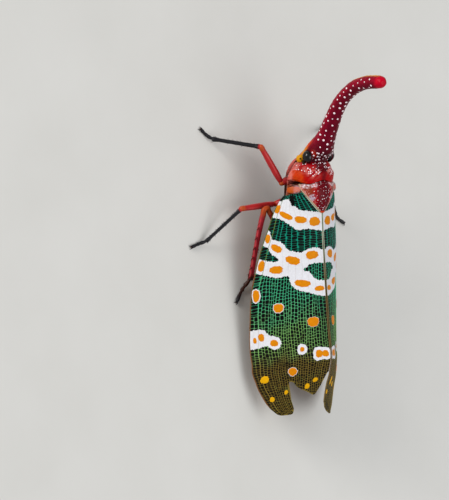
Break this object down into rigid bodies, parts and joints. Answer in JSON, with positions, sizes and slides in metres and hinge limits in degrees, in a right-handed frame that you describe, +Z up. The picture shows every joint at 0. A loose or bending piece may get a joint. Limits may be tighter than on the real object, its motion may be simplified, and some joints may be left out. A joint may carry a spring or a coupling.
{
  "type": "lantern bug",
  "caption": "Life-size still model of a long-snouted lantern bug standing with its netted, spotted wings folded like a roof over its back.",
  "frame": {"origin": "on the floor, under the middle of the bounding box", "axes": "+X to the insect's right, +Y towards its head, +Z up from the floor it stands on"},
  "size_m": [0.0322, 0.0494, 0.0268],
  "materials": {
    "wing_green": "satin, netted green with white bands and orange spots",
    "wing_yellow": "satin, yellow with a dark tip",
    "eye_dark": "glossy",
    "antenna_orange": "satin",
    "abdomen_buff": "satin, waxy",
    "underside_brown": "satin",
    "head_crimson": "satin with raised white dots",
    "shield_orange_red": "satin with white dots",
    "shield_brown": "satin with pale waxy streaks",
    "leg_crimson": "satin",
    "leg_black": "satin"
  },
  "bodies": {
    "root": {"abdomen": "abdomen_buff", "antenna_left": "antenna_orange", "antenna_right": "antenna_orange", "coxa_fore_left": "underside_brown", "coxa_fore_right": "underside_brown", "coxa_hind_left": "underside_brown", "coxa_hind_right": "underside_brown", "coxa_mid_left": "underside_brown", "coxa_mid_right": "underside_brown", "eye_left": "eye_dark", "eye_right": "eye_dark", "femur_fore_left": "leg_crimson", "femur_fore_right": "leg_crimson", "femur_hind_left": "leg_crimson", "femur_hind_right": "leg_crimson", "femur_mid_left": "leg_crimson", "femur_mid_right": "leg_crimson", "forewing_left": "wing_green", "forewing_right": "wing_green", "head": "head_crimson", "hindwing_left": "wing_yellow", "hindwing_right": "wing_yellow", "mesonotum": "shield_brown", "prothorax": "shield_orange_red", "rostrum": "underside_brown", "snout": "head_crimson", "tarsus_fore_left": "leg_black", "tarsus_fore_right": "leg_black", "tarsus_hind_left": "leg_black", "tarsus_hind_right": "leg_black", "tarsus_mid_left": "leg_black", "tarsus_mid_right": "leg_black", "tegula_left": "shield_orange_red", "tegula_right": "shield_orange_red", "thorax": "underside_brown", "tibia_fore_left": "leg_black", "tibia_fore_right": "leg_black", "tibia_hind_left": "leg_crimson", "tibia_hind_right": "leg_crimson", "tibia_mid_left": "leg_black", "tibia_mid_right": "leg_black"}
  },
  "joints": []
}
